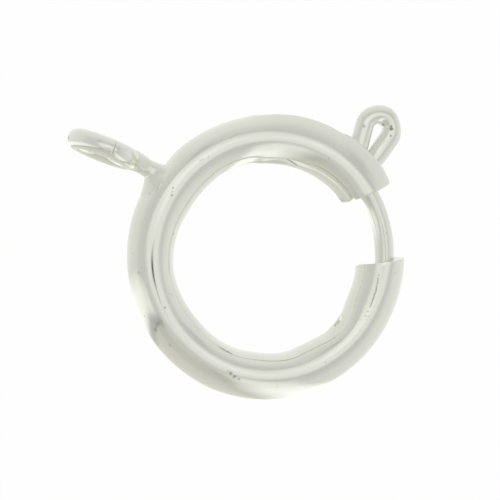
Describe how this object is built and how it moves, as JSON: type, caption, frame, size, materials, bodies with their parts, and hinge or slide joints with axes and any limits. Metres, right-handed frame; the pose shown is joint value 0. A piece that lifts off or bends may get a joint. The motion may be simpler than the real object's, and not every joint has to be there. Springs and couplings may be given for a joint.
{
  "type": "spring ring clasp",
  "caption": "Spring ring jewellery clasp: a C-shaped tube whose gate is closed by a sprung wire tongue with a looped trigger, and a soldered eye.",
  "frame": {"origin": "centre of the ring, on the mid-plane of its tube", "axes": "+Z is the ring's axis, +X runs through the middle of the gate, and the eye stands at about 133 degrees from +X towards +Y"},
  "size_m": [0.007, 0.0067, 0.0016],
  "materials": {
    "tube_plate": "polished silver plate on brass",
    "wire_plate": "polished silver plate on brass",
    "spring_steel": "bright drawn spring wire",
    "eye_plate": "polished silver plate on brass",
    "solder": "flowed silver solder, plated over"
  },
  "bodies": {
    "ring": {"ring_tube": "tube_plate", "return_spring": "spring_steel", "eye_ring": "eye_plate", "eye_solder": "solder"},
    "tongue": {"tongue_wire": "wire_plate"}
  },
  "joints": [
    {"name": "trigger_slide", "type": "hinge", "parent": "ring", "child": "tongue", "pos_m": [0, 0, 0], "axis": [0, 0, 1], "range_deg": [0, 42], "stiffness_Nm_per_rad": 0.005, "deforming": ["return_spring"]}
  ]
}
